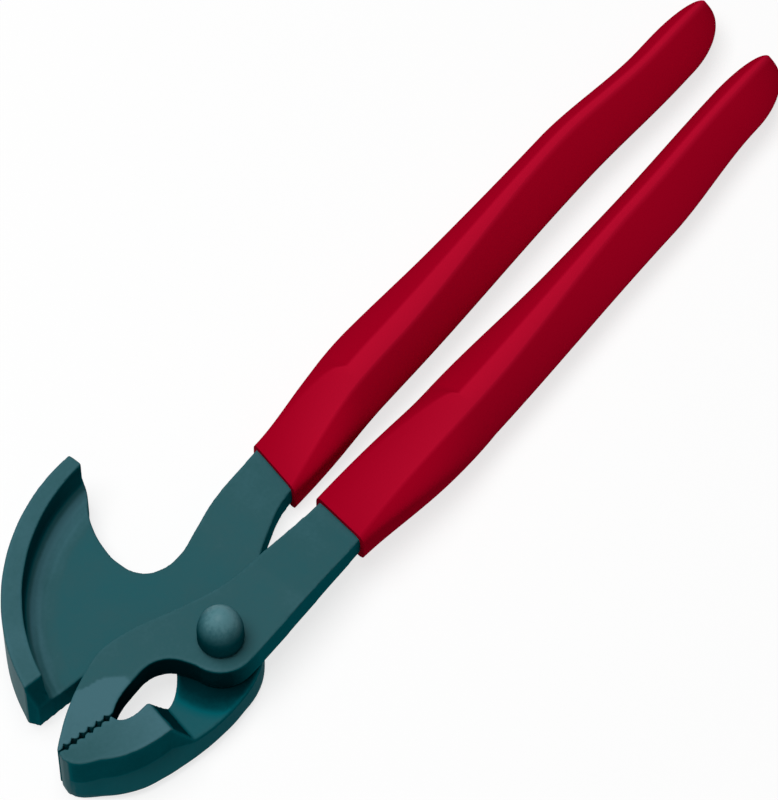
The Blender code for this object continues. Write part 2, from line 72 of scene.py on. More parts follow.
# Forged skin
SKIN_VOXEL = 0.36 * MM
SKIN_EASE = 0.5
SKIN_PASSES = 4
MOST_LEVER_TRIANGLES = 150000

# Points nearer than this are one: in a copy of a solid, and at the poles and seams of round pieces
SOLID_MERGE = 0.005 * MM
POLE_MERGE = 0.002 * MM

# Edges that turn by more than this stay crisp
LEVER_CRISP = math.radians(35)
RIVET_CRISP = math.radians(40)
GRIP_CRISP = math.radians(50)

# The coat's tone, from 0 to 1: painted shade darkens the hollows and walls, painted sheen and light
# make the faces and lit edges paler, and the ground nose is palest
HOLLOW_SHADE = 0.0  # painted shade in the hollows, nearly black
OUTER_WALL_SHADE = 0.14  # painted shade on the rocker lever's outer walls, and on the rivet's sides
WALL_TONE = 0.2  # on other walls, darker than the faces: painted shade
FLARE_TONE = 0.3  # on the flare round the lower jaw, painted lighter than the walls above it
WEB_SHADE = 0.58  # on the web, painted darker than the plain faces as shade in its recess
SIDE_LIT_TONE = 0.62  # painted light on the rolling edge and the end of the nose, as lit from the side
PLAIN_SHEEN = 0.7  # on plain faces, greyer than the walls: painted sheen
RIM_TONE = 0.8  # on the rim
PALEST_TONE = 1.0  # on the ground nose, and as a painted highlight on the rivet's crown
# The lap is painted dark beside the boss, as in the boss's shadow, and lighter with the distance
# from the rivet
LAP_AWAY = np.array((12.0, 15.0, 18.5, 23.0)) * MM
LAP_SHADE = (HOLLOW_SHADE, 0.06, 0.4, 0.44)
# Along the parting line the painted shade on the web and on the rocker lever's outer walls runs out
# into the arm, and the painted shade on the mouth's wall into the boss
ARM_FADE = (-24.0 * MM, -2.0 * MM)
OUTER_FADE = (-32.0 * MM, -12.0 * MM)
MOUTH_FADE = (-6.0 * MM, 4.0 * MM)
# The edge of the upper jaw's ground face: across the parting line, and along it
GROUND_ACROSS = np.array((0.0, 6.4, 9.4, 9.9, 12.0)) * MM
GROUND_ALONG = np.array((24.5, 24.9, 29.4, 34.5, 40.0)) * MM
GROUND_FADE = 0.7 * MM
# The eased edges reach this far off a face's height
FACE_SLACK = 1.0 * MM
# How squarely a point looks one way, from 0 to 1: where walls turn into the levers' faces and into
# the rivet's crown, into the end of the nose, and on the rolling edge and the step
LEVER_FACING = (0.3, 0.95)
CROWN_FACING = (0.05, 0.85)
END_FACING = (0.82, 0.94)
ROLL_FACING = 0.8
STEP_FACING = 0.35
# Wear of the edges, with a painted highlight along them, spread over their neighbours
EDGE_PASSES = 3
EDGE_GAIN = 6.0
TINY = 1e-9

# Noise seldom leaves this span
NOISE_SPAN = (0.3, 0.7)

# Coat: sizes of its patterns, and how strongly they show
CLOUD_SIZE = 11.0 * MM
GRIT_SIZE = 1.1 * MM
GRIT_SHARE = 0.3
ARC_WIDTH = 3.5 * MM
ARC_SLOWNESS = 0.1  # along an arc, against across it
ARC_LIFT = (0.05, 0.8)
# The arcs start on the web, and end at the rolling edge, towards the jaws and up the rim's wall
ARC_START = (43.5 * MM, 49.5 * MM)
ARC_END = (ROLL_RADIUS, ROLL_RADIUS + 1.5 * MM)
ARC_SIDE = (10.0 * MM, 22.0 * MM)
ARC_TOP = (LAP_HEIGHT + 0.5 * MM, LAP_HEIGHT + 2.0 * MM)
EDGE_SHARE = 0.15
MOTTLE_SHARE = (0.2, 0.7)
WALL_ROUGHER = 0.12
COAT_SATIN = 0.12
COAT_IOR = 1.5
SKIN_RELIEF = 0.25 * MM

# Vinyl: sizes of its patterns, and how strongly they show
FLOW_SIZE = 14.0 * MM
FLOW_STRETCH = (0.25, 1.0, 1.0)
FLOW_TINT = 0.15
FLOW_ROUGHNESS = (-0.03, 0.05)
PEEL_SIZE = 2.2 * MM
PEEL_STRENGTH = 0.12
PEEL_RELIEF = 0.12 * MM
VINYL_IOR = 1.52
# The flat face at the mouth has this share of the crest's painted highlight, on its right half
FLAT_HIGHLIGHT_SHARE = 0.45

# Rivet
RIVET_SEAT = JAW_THICKNESS + 0.3 * MM
RIVET_RADIUS = 5.9 * MM
RIVET_COLLAR = 3.6 * MM
RIVET_DOME = 8.6 * MM
RIVET_EASE = 0.7 * MM
SHANK_RADIUS = 4.5 * MM
TAIL_RADIUS = 6.6 * MM
TAIL_DEPTH = 2.1 * MM
TAIL_EASE = 0.25 * MM
DOME_STEPS = 24
EASE_STEPS = 6
TURN_STEPS = 96

# Grips: the rule of the handles' sections
PLACES = ("Seam", "Belly", "Neck", "Tail")
GRIP_SIZES = {
    "Middle Y": 10.2 * MM,
    "Middle Z": 8.75 * MM,
    "Belly X": 92.0 * MM,
    "Belly Offset": 13.7 * MM,
    "Belly Width": 20.6 * MM,
    "Belly Depth": 16.4 * MM,
    "Belly Crest": 4.6 * MM,
    "Belly Lean": -1.0 * MM,
    "Neck X": 168.3 * MM,
    "Neck Offset": 13.8 * MM,
    "Neck Width": 17.4 * MM,
    "Neck Depth": 15.0 * MM,
    "Neck Crest": 1.5 * MM,
    "Neck Lean": 2.4 * MM,
    "Tail X": 206.4 * MM,
    "Tail Width": 15.4 * MM,
    "Tail Depth": 13.6 * MM,
    "Tail Crest": 1.0 * MM,
    "Tail Lean": 2.0 * MM,
    "Left Wedge": 0.4,
    "Right Wedge": 1.9,
    "Back Wedge": 0.8,
    "Seam Corner": 1.8 * MM,
    "Seam Fullness": 6.0,
    "Belly Fullness": 1.3,
    "Left Fullness": 1.35,
    "Right Fullness": 1.05,
    "Left Trim": -0.6 * MM,
    "Left Swell": 1.1 * MM,
    "Swell Run": 45.0 * MM,
    "Crest Fade": 1.0 * MM,
    "Cap Length": 19.0 * MM,
    "Cap Lean": 3.6 * MM,
    "Wall": 1.5 * MM,
    "Mouth Depth": 9.0 * MM,
}
ROCKER_GRIP_SIZES = {
    "Seam X": 48.8 * MM,
    "Seam Slant": 0.24,
    "Seam Y": 23.6 * MM,
    "Seam Z": 5.2 * MM,
    "Seam Width": 17.8 * MM,
    "Seam Depth": 10.4 * MM,
    "Crest X": 80.0 * MM,
    "Right Swell": 0.3 * MM,
    "Tail Offset": 11.6 * MM,
    "End X": 230.7 * MM,
    "Side": 1.0,
}
JAW_GRIP_SIZES = {
    "Seam X": 44.8 * MM,
    "Seam Slant": 0.14,
    "Seam Y": -1.2 * MM,
    "Seam Z": 12.3 * MM,
    "Seam Width": 18.2 * MM,
    "Seam Depth": 10.4 * MM,
    "Crest X": 92.0 * MM,
    "Right Swell": 1.1 * MM,
    "Tail Offset": 12.2 * MM,
    "End X": 227.5 * MM,
    "Side": -1.0,
}
RINGS_ALONG = 200
POINTS_AROUND = 96
MOUTH_RINGS = 4
LIP_RINGS = 2
CAP_RINGS = 30
# The tang draws in to this share of its size behind the grip's mouth
TANG_SHARE = 0.75
TANG_RUN = 12.0 * MM

# Light: place from the tool's middle, size in metres and power in watts
SOFTBOXES = {
    "overhead_softbox": (Vector((-0.18, 0.30, 1.48)), 1.1, 20.5),
    "front_fill": (Vector((-1.1, -0.4, 0.9)), 1.0, 0.6),
}
TOOL_MIDDLE = Vector((83.0, 14.0, 9.0)) * MM
WHITE = (1.0, 1.0, 1.0, 1.0)
WORLD_FILL = 0.06
BOARD_SEEN = "939393"
BOARD_BOUNCE = "E8E8E8"
BOARD_GLOW = 0.75
BOARD_SIZE = 4.0

# Camera: lens and sensor in millimetres, clipping in metres
LENS = 250
SENSOR_WIDTH = 36
CLIP_START = 0.05
CLIP_END = 20
VIEW_TARGET = Vector((82.92, 13.65, 8.75)) * MM
VIEW_BACK = Vector((-0.3886, -0.3147, 0.8660)).normalized()
VIEW_DISTANCE = 1417.2 * MM

MATH = "ShaderNodeMath"
RANGE = "ShaderNodeMapRange"
NOISE = "ShaderNodeTexNoise"


def add(tree, kind, inputs=(), **settings):
    """Adds a node with its settings. Its inputs, by name or in order, are set or linked."""
    node = tree.nodes.new(kind)
    for name, value in settings.items():
        setattr(node, name, value)
    for key, value in inputs.items() if isinstance(inputs, dict) else enumerate(inputs):
        if isinstance(value, bpy.types.Node):
            value = value.outputs[0]
        if isinstance(value, bpy.types.NodeSocket):
            tree.links.new(value, node.inputs[key])
        else:
            node.inputs[key].default_value = value
    return node


def colour(code):
    """A six-digit sRGB hex colour as linear red, green, blue and alpha."""
    parts = [int(code[i : i + 2], 16) / 255 for i in (0, 2, 4)]
    linear = [c / 12.92 if c <= 0.04045 else ((c + 0.055) / 1.055) ** 2.4 for c in parts]
    return linear + [1.0]


def new_material(name):
    """A material with its node tree and its shader."""
    made = bpy.data.materials.new(name)
    made.use_nodes = True
    return made, made.node_tree, made.node_tree.nodes["Principled BSDF"]


def coated_forging(name, colours, roughness, bump, mottle):
    """Forged steel under a thin dark coating: deep and matt on the walls, satin on the faces,
    palest where the nose is ground. Painted shade makes the hollows nearly black, painted sheen
    makes the faces greyer, and the edges carry wear and a painted highlight. The forging's uneven
    skin shows through as soft mottling, drawn out into arcs round the head, which at the rim's foot
    also paint a highlight."""
    made, tree, shader = new_material(name)
    place = add(tree, "ShaderNodeTexCoord").outputs["Object"]
    cloud = add(tree, NOISE, {"Vector": place, "Scale": 1 / CLOUD_SIZE, "Detail": 4.0})
    # The grit is drawn coarser than the real coat's, which is too fine to see
    grit = add(tree, NOISE, {"Vector": place, "Scale": 1 / GRIT_SIZE, "Detail": 3.0})
    skin = add(tree, "ShaderNodeMix", {"Factor": GRIT_SHARE, "A": cloud, "B": grit})

    # Faint pale arcs on the web at the rim's foot: flow lines that the dies left, and a painted
    # highlight where the fillet catches the light
    spoke = add(tree, "ShaderNodeVectorMath", (place, RIM_CENTRE), operation="SUBTRACT")
    radius = add(tree, "ShaderNodeVectorMath", (spoke,), operation="LENGTH").outputs["Value"]
    spot = add(tree, "ShaderNodeSeparateXYZ", (place,)).outputs
    slow = add(tree, MATH, (spot["Y"], ARC_SLOWNESS), operation="MULTIPLY")
    bands = add(tree, "ShaderNodeCombineXYZ", (radius, slow))
    arcs = add(tree, NOISE, {"Vector": bands, "Scale": 1 / ARC_WIDTH, "Detail": 2.0})
    arcs = add(tree, RANGE, (arcs, *NOISE_SPAN, *ARC_LIFT))
    reach = add(tree, RANGE, (radius, *ARC_START, 0.0, 1.0))
    reach = add(tree, RANGE, (radius, *ARC_END, reach, 0.0))
    reach = add(tree, RANGE, (spot["Y"], *ARC_SIDE, 0.0, reach))
    reach = add(tree, RANGE, (spot["Z"], *ARC_TOP, reach, 0.0))

    # Faces with their painted sheen, the ground nose, and the edges with their wear and painted
    # highlight are paler, and the coat there shows more of the mottling
    wear_and_painted_light = add(tree, "ShaderNodeAttribute", attribute_name="wear_and_painted_light").outputs["Fac"]
    edge = add(tree, "ShaderNodeAttribute", attribute_name="edge_wear_and_highlight").outputs["Fac"]
    uneven = add(tree, RANGE, (skin, *NOISE_SPAN, -mottle, mottle))
    uneven = add(tree, MATH, (arcs, reach, uneven), operation="MULTIPLY_ADD")
    wear = add(tree, MATH, (edge, EDGE_SHARE, wear_and_painted_light), operation="MULTIPLY_ADD")
    loose = add(tree, RANGE, (wear_and_painted_light, WALL_TONE, WEB_SHADE, *MOTTLE_SHARE))
    wear = add(tree, MATH, (loose, uneven, wear), operation="MULTIPLY_ADD")
    tint = add(tree, "ShaderNodeValToRGB", (wear,))
    stops = tint.color_ramp.elements
    stops.new(WALL_TONE)
    stops.new(PLAIN_SHEEN)
    for stop, code in zip(stops, colours):
        stop.color = colour(code)
    tree.links.new(tint.outputs["Color"], shader.inputs["Base Color"])
    rough = add(tree, RANGE, (wear, 0.0, 1.0, roughness + WALL_ROUGHER, roughness))
    tree.links.new(rough.outputs["Result"], shader.inputs["Roughness"])
    satin = add(tree, RANGE, (wear_and_painted_light, WALL_TONE, PALEST_TONE, 0.0, COAT_SATIN))
    tree.links.new(satin.outputs["Result"], shader.inputs["Specular IOR Level"])
    shader.inputs["IOR"].default_value = COAT_IOR
    relief = add(
        tree, "ShaderNodeBump", {"Height": skin, "Strength": bump, "Distance": SKIN_RELIEF}
    )
    tree.links.new(relief.outputs["Normal"], shader.inputs["Normal"])
    return made


def dipped_vinyl(name, body, crest, roughness):
    """Plastisol from a dipping tank: one soft even skin with a faint orange-peel ripple, and a
    painted highlight, a touch lighter, along the crests."""
    made, tree, shader = new_material(name)
    place = add(tree, "ShaderNodeTexCoord").outputs["Object"]
    flow = add(tree, "ShaderNodeMapping", {"Vector": place, "Scale": FLOW_STRETCH})
    cloud = add(tree, NOISE, {"Vector": flow, "Scale": 1 / FLOW_SIZE, "Detail": 3.0})
    peel = add(tree, NOISE, {"Vector": place, "Scale": 1 / PEEL_SIZE, "Detail": 2.0})
    # The painted highlight along the crests, read from the points
    thin = add(tree, "ShaderNodeAttribute", attribute_name="crest").outputs["Fac"]
    tone = add(tree, MATH, (cloud, FLOW_TINT, thin), operation="MULTIPLY_ADD")
    tint = add(tree, "ShaderNodeValToRGB", (tone,))
    for stop, code in zip(tint.color_ramp.elements, (body, crest)):
        stop.color = colour(code)
    tree.links.new(tint.outputs["Color"], shader.inputs["Base Color"])
    span = [roughness + change for change in FLOW_ROUGHNESS]
    rough = add(tree, RANGE, (cloud, *NOISE_SPAN, *span))
    tree.links.new(rough.outputs["Result"], shader.inputs["Roughness"])
    shader.inputs["IOR"].default_value = VINYL_IOR
    shader.inputs["Specular IOR Level"].default_value = 0.0
    ripple = add(
        tree,
        "ShaderNodeBump",
        {"Height": peel, "Strength": PEEL_STRENGTH, "Distance": PEEL_RELIEF},
    )
    tree.links.new(ripple.outputs["Normal"], shader.inputs["Normal"])
    return made


def seen_rays(tree):
    """One for rays from the eye, from reflections and through glass, zero for scattered light."""
    path = add(tree, "ShaderNodeLightPath").outputs
    seen = add(tree, MATH, (path["Is Camera Ray"], path["Is Glossy Ray"]), operation="MAXIMUM")
    return add(tree, MATH, (seen, path["Is Transmission Ray"]), operation="MAXIMUM")


def studio_board(name, seen_colour, bounce_colour):
    """Matt white board. The eye and reflections see it lifted by a glow, which keeps the shadow
    faint, and scattered light finds it plain."""
    made, tree, shader = new_material(name)
    seen = seen_rays(tree)
    tint = add(
        tree,
        "ShaderNodeMix",
        {"Factor": seen, "A": colour(bounce_colour), "B": colour(seen_colour)},
        data_type="RGBA",
    )
    tree.links.new(tint.outputs["Result"], shader.inputs["Base Color"])
    glow = add(tree, MATH, (seen, BOARD_GLOW), operation="MULTIPLY")
    tree.links.new(glow.outputs["Value"], shader.inputs["Emission Strength"])
    shader.inputs["Emission Color"].default_value = WHITE
    shader.inputs["Roughness"].default_value = 1.0
    shader.inputs["Specular IOR Level"].default_value = 0.0
    return made


def link_piece(name, mesh):
    """A new object with this mesh, in the scene."""
    piece = bpy.data.objects.new(name, mesh)
    bpy.context.scene.collection.objects.link(piece)
    return piece


def evaluated(piece):
    """Keeps the mesh that the piece's modifiers give, and removes the modifiers."""
    graph = bpy.context.evaluated_depsgraph_get()
    mesh = bpy.data.meshes.new_from_object(piece.evaluated_get(graph))
    piece.modifiers.clear()
    old = piece.data
    piece.data = mesh
    bpy.data.meshes.remove(old)


def vectors(items, name):
    """A property of all the items as an array, one row of three each."""
    flat = np.empty(len(items) * 3, np.float32)
    items.foreach_get(name, flat)
    return flat.reshape(-1, 3).astype(float)


def store(mesh, name, values):
    """Keeps a value from 0 to 1 on each point, for the material to read."""
    layer = mesh.attributes.new(name, "FLOAT", "POINT")
    layer.data.foreach_set("value", np.clip(values, 0, 1).astype(np.float32))


def cad_copy(node, name):
    """The node's solid as one connected mesh, ready to be worked on."""
    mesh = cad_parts[node].data.copy()
    mesh.materials.clear()
    shape = bmesh.new()
    shape.from_mesh(mesh)
    bmesh.ops.remove_doubles(shape, verts=shape.verts, dist=SOLID_MERGE)
    shape.to_mesh(mesh)
    shape.free()
    mesh.name = name
    return link_piece(name, mesh)


def edge_wear_and_highlight(mesh):
    """How convex the skin is at each point, from 0 on the flats to 1 on the edges."""
    points = vectors(mesh.vertices, "co")
    normals = vectors(mesh.vertex_normals, "vector")
    links = np.empty(len(mesh.edges) * 2, np.int32)
    mesh.edges.foreach_get("vertices", links)
    links = links.reshape(-1, 2)
    count = np.maximum(np.bincount(links.ravel(), minlength=len(points)), 1)
    total = np.zeros_like(points)
    reach = np.zeros(len(points))
    lengths = np.linalg.norm(points[links[:, 0]] - points[links[:, 1]], axis=1)
    both_ways = ((0, 1), (1, 0))
    for near, far in both_ways:
        np.add.at(total, links[:, near], points[links[:, far]])
        np.add.at(reach, links[:, near], lengths)
    lift = ((points - total / count[:, None]) * normals).sum(axis=1)
    values = np.maximum(lift / np.maximum(reach / count, TINY), 0)
    for _ in range(EDGE_PASSES):
        spread = np.zeros(len(points))
        for near, far in both_ways:
            np.add.at(spread, links[:, near], values[links[:, far]])
        values = (values + spread / count) / 2
    return EDGE_GAIN * values


def smooth_step(values, start, end):
    """Eases from 0 at start to 1 at end."""
    share = np.clip((values - start) / (end - start), 0, 1)
    return share * share * (3 - 2 * share)


def facing_front(mesh, least, most):
    """From 0 on the walls to 1 on the faces that look to the front or the back."""
    return smooth_step(np.abs(vectors(mesh.vertex_normals, "vector")[:, 2]), least, most)


def lever_wear_and_light(mesh, upper_jaw):
    """The coat's tone at each point of a lever: wear on the ground nose, painted shade on its walls
    and in its hollows, and painted sheen and light on its faces and lit edges.
    """
    points = vectors(mesh.vertices, "co")
    normals = vectors(mesh.vertex_normals, "vector")
    c, s = math.cos(PARTING_ANGLE), math.sin(PARTING_ANGLE)
    along = points[:, 1] * s - points[:, 0] * c
    across = points[:, 0] * s + points[:, 1] * c
    height = points[:, 2]
    low = height < LAP_HEIGHT + FACE_SLACK
    raised = height > JAW_THICKNESS - FACE_SLACK
    mouth = (along > LAP_START) & (across < LAP_WIDTH)
    walls = np.full(len(points), WALL_TONE)
    faces = np.full(len(points), PLAIN_SHEEN)
    # The web is painted darker, as shaded in its recess
    web = np.interp(along, ARM_FADE, (PLAIN_SHEEN, WEB_SHADE))
    faces[low] = web[low]
    # Painted shadow of the boss on the lap, lighter away from the rivet
    lap = np.interp(np.hypot(points[:, 0], points[:, 1]), LAP_AWAY, LAP_SHADE)
    faces[low & mouth] = lap[low & mouth]
    if upper_jaw:
        past = along - np.interp(across, GROUND_ACROSS, GROUND_ALONG)
        share = smooth_step(past, -GROUND_FADE, GROUND_FADE)
        ground = PLAIN_SHEEN + (PALEST_TONE - PLAIN_SHEEN) * share
        faces[raised] = ground[raised]
        # The mouth's wall, up to the bite, is painted in shade
        mouth = mouth & (along < BITE_START)
        mouth_shade = np.interp(along, MOUTH_FADE, (WALL_TONE, HOLLOW_SHADE))
        walls[mouth] = mouth_shade[mouth]
    else:
        # The outer walls are painted darker, as in shade, running out towards the arm
        walls = np.interp(along, OUTER_FADE, (WALL_TONE, OUTER_WALL_SHADE))
        # The flare is painted lighter than the walls above it
        walls[mouth & (height < FLARE_TOP)] = FLARE_TONE
        # The rim, and painted light on its rolling edge and on the end of the nose
        faces[(height > RIM_TOP - FACE_SLACK) & ~mouth] = RIM_TONE
        spoke = points - np.array(RIM_CENTRE)
        spoke[:, 2] = 0
        radius = np.linalg.norm(spoke, axis=1)
        outward = (normals * spoke).sum(axis=1) / radius
        walls[(radius > ROLL_RADIUS) & (outward > ROLL_FACING) & ~mouth] = SIDE_LIT_TONE
        endward = smooth_step(normals[:, 1] * s - normals[:, 0] * c, *END_FACING)
        end = mouth & (along > NOSE_END)
        walls[end] += ((SIDE_LIT_TONE - walls) * endward)[end]
        # The step, painted in shade, and the ground face in front of it
        step = mouth & (along < STEP_TOP) & ~low & ~raised & (normals[:, 2] > STEP_FACING)
        walls[step] = HOLLOW_SHADE
        faces[step] = HOLLOW_SHADE
        ground = raised & (across < LAP_WIDTH) & (along > STEP_TOP)
        fade = np.interp(along, (STEP_TOP, JAW_TIP), (PALEST_TONE, PLAIN_SHEEN))
        faces[ground] = fade[ground]
    # Walls take their tone and faces theirs by which way the skin looks: painted shade and painted
    # sheen
    return walls + (faces - walls) * facing_front(mesh, *LEVER_FACING)


def tooth_tree():
    """Cuts a row of V grooves along the parting line into the lever that comes in."""
    tree = bpy.data.node_groups.new("tooth_grooves", "GeometryNodeTree")
    side = tree.interface
    side.new_socket("Lever", in_out="INPUT", socket_type="NodeSocketGeometry")
    for name, size in TOOTH_SIZES.items():
        kind = "NodeSocketInt" if isinstance(size, int) else "NodeSocketFloat"
        side.new_socket(name, in_out="INPUT", socket_type=kind)
    side.new_socket("Finish", in_out="INPUT", socket_type="NodeSocketMaterial")
    side.new_socket("Lever", in_out="OUTPUT", socket_type="NodeSocketGeometry")
    given = add(tree, "NodeGroupInput").outputs

    # Square prisms on end, one for each groove
    first = add(tree, MATH, (given["First"], -1.0), operation="MULTIPLY")
    step = add(tree, MATH, (given["Pitch"], -1.0), operation="MULTIPLY")
    start = add(tree, "ShaderNodeCombineXYZ", {"X": first})
    offset = add(tree, "ShaderNodeCombineXYZ", {"X": step})
    row = add(
        tree,
        "GeometryNodeMeshLine",
        {"Count": given["Count"], "Start Location": start, "Offset": offset},
    )
    radius = add(tree, MATH, (given["Diagonal"], 0.5), operation="MULTIPLY")
    prism = add(
        tree,
        "GeometryNodeMeshCylinder",
        {"Vertices": 4, "Radius": radius, "Depth": given["Length"]},
    )
    grooves = add(tree, "GeometryNodeInstanceOnPoints", {"Points": row, "Instance": prism})
    solid = add(tree, "GeometryNodeRealizeInstances", (grooves,))

    # Turned to the parting line, and cut away
    lean = add(tree, MATH, (given["Parting Angle"], -1.0), operation="MULTIPLY")
    turn = add(tree, "ShaderNodeCombineXYZ", {"Z": lean})
    height = add(tree, MATH, (given["Length"], 0.5), operation="MULTIPLY")
    lift = add(tree, "ShaderNodeCombineXYZ", {"Z": height})
    placed = add(
        tree, "GeometryNodeTransform", {"Geometry": solid, "Translation": lift, "Rotation": turn}
    )
    cut = add(
        tree,
        "GeometryNodeMeshBoolean",
        {"Mesh 1": given["Lever"], "Mesh 2": placed},
        operation="DIFFERENCE",
        solver="MANIFOLD",
    )
    real = add(tree, "GeometryNodeRealizeInstances", (cut,))
    finish = add(tree, "GeometryNodeSetMaterial", {"Geometry": real, "Material": given["Finish"]})
    add(tree, "NodeGroupOutput", {"Lever": finish})
    return tree


def run_tree(piece, tree, sizes):
    """Runs the tree on the piece with these sizes, and keeps the result as a plain mesh."""
    modifier = piece.modifiers.new(tree.name, "NODES")
    modifier.node_group = tree
    for item in tree.interface.items_tree:
        if item.in_out == "INPUT" and item.name in sizes:
            modifier[item.identifier] = sizes[item.name]
    evaluated(piece)


def finish_piece(piece, node, body, crisp):
    """Shades the piece, and puts it on its body in the node's place."""
    piece.data.shade_smooth()
    piece.data.set_sharp_from_angle(angle=crisp)
    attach(piece, body)
    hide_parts(node)


def slim_tang(mesh, sizes):
    """Draws the tang in towards the handle's middle line, past the grip's mouth."""
    sizes = {**GRIP_SIZES, **sizes}
    points = vectors(mesh.vertices, "co")
    stations = [sizes[place + " X"] for place in PLACES]
    offsets = [sizes[place + " Offset"] for place in PLACES[1:]]
    middle = {
        1: [sizes["Seam Y"]] + [sizes["Middle Y"] + sizes["Side"] * offset for offset in offsets],
        2: [sizes["Seam Z"]] + [sizes["Middle Z"]] * len(offsets),
    }
    start = sizes["Seam X"] + sizes["Mouth Depth"]
    share = 1 - (1 - TANG_SHARE) * smooth_step(points[:, 0], start, start + TANG_RUN)
    for axis, values in middle.items():
        line = np.full(len(points), values[0])
        for near, far, low, high in zip(stations, stations[1:], values, values[1:]):
            line += (high - low) * smooth_step(points[:, 0], near, far)
        points[:, axis] = line + (points[:, axis] - line) * share
    mesh.vertices.foreach_set("co", points.ravel())
    mesh.update()


def forged_lever(node, name, body, finish, teeth, sizes, upper_jaw):
    """A lever's solid under a forged skin, with its edges eased as the dies wear."""
    piece = cad_copy(node, name)
    skin = piece.modifiers.new("skin", "REMESH")
    skin.mode = "VOXEL"
    skin.voxel_size = SKIN_VOXEL
    ease = piece.modifiers.new("die wear", "SMOOTH")
    ease.factor = SKIN_EASE
    ease.iterations = SKIN_PASSES
    evaluated(piece)
    count = sum(len(face.vertices) - 2 for face in piece.data.polygons)
    thin = piece.modifiers.new("thin", "DECIMATE")
    thin.ratio = min(1.0, MOST_LEVER_TRIANGLES / count)
    evaluated(piece)
    run_tree(piece, teeth, {**TOOTH_SIZES, "Finish": finish})
    slim_tang(piece.data, sizes)
    store(piece.data, "edge_wear_and_highlight", edge_wear_and_highlight(piece.data))
    store(piece.data, "wear_and_painted_light", lever_wear_and_light(piece.data, upper_jaw))
    finish_piece(piece, node, body, LEVER_CRISP)


def domed_rivet(node, name, body, finish):
    """The rivet turned from its profile: domed head, eased collar, shank and flush tail."""
    shoulder = RIVET_SEAT + RIVET_COLLAR
    profile = [(0.0, shoulder + RIVET_DOME)]
    for angle in np.linspace(math.pi / 2, 0, DOME_STEPS + 1)[1:]:
        rise = RIVET_DOME * math.sin(angle)
        profile.append((RIVET_RADIUS * math.cos(angle), shoulder + rise))
    for angle in np.linspace(0, -math.pi / 2, EASE_STEPS + 1):
        out = RIVET_RADIUS - RIVET_EASE + RIVET_EASE * math.cos(angle)
        profile.append((out, RIVET_SEAT + RIVET_EASE + RIVET_EASE * math.sin(angle)))
    profile += [(SHANK_RADIUS, RIVET_SEAT), (SHANK_RADIUS, TAIL_DEPTH), (TAIL_RADIUS, TAIL_EASE)]
    profile += [(TAIL_RADIUS - TAIL_EASE, 0.0), (0.0, 0.0)]
    mesh = bpy.data.meshes.new(name)
    links = [(i, i + 1) for i in range(len(profile) - 1)]
    mesh.from_pydata([(radius, 0, height) for radius, height in profile], links, [])
    piece = link_piece(name, mesh)
    turn = piece.modifiers.new("turn", "SCREW")
    turn.steps = TURN_STEPS
    turn.render_steps = TURN_STEPS
    evaluated(piece)
    shape = bmesh.new()
    shape.from_mesh(piece.data)
    bmesh.ops.remove_doubles(shape, verts=shape.verts, dist=POLE_MERGE)
    bmesh.ops.recalc_face_normals(shape, faces=shape.faces)
    shape.to_mesh(piece.data)
    shape.free()
    store(piece.data, "edge_wear_and_highlight", edge_wear_and_highlight(piece.data))
    # The rivet's crown is painted lighter as a highlight, and its sides darker as in shade
    crown = facing_front(piece.data, *CROWN_FACING)
    store(piece.data, "wear_and_painted_light", OUTER_WALL_SHADE + (PALEST_TONE - OUTER_WALL_SHADE) * crown)
    piece.data.materials.append(finish)
    finish_piece(piece, node, body, RIVET_CRISP)


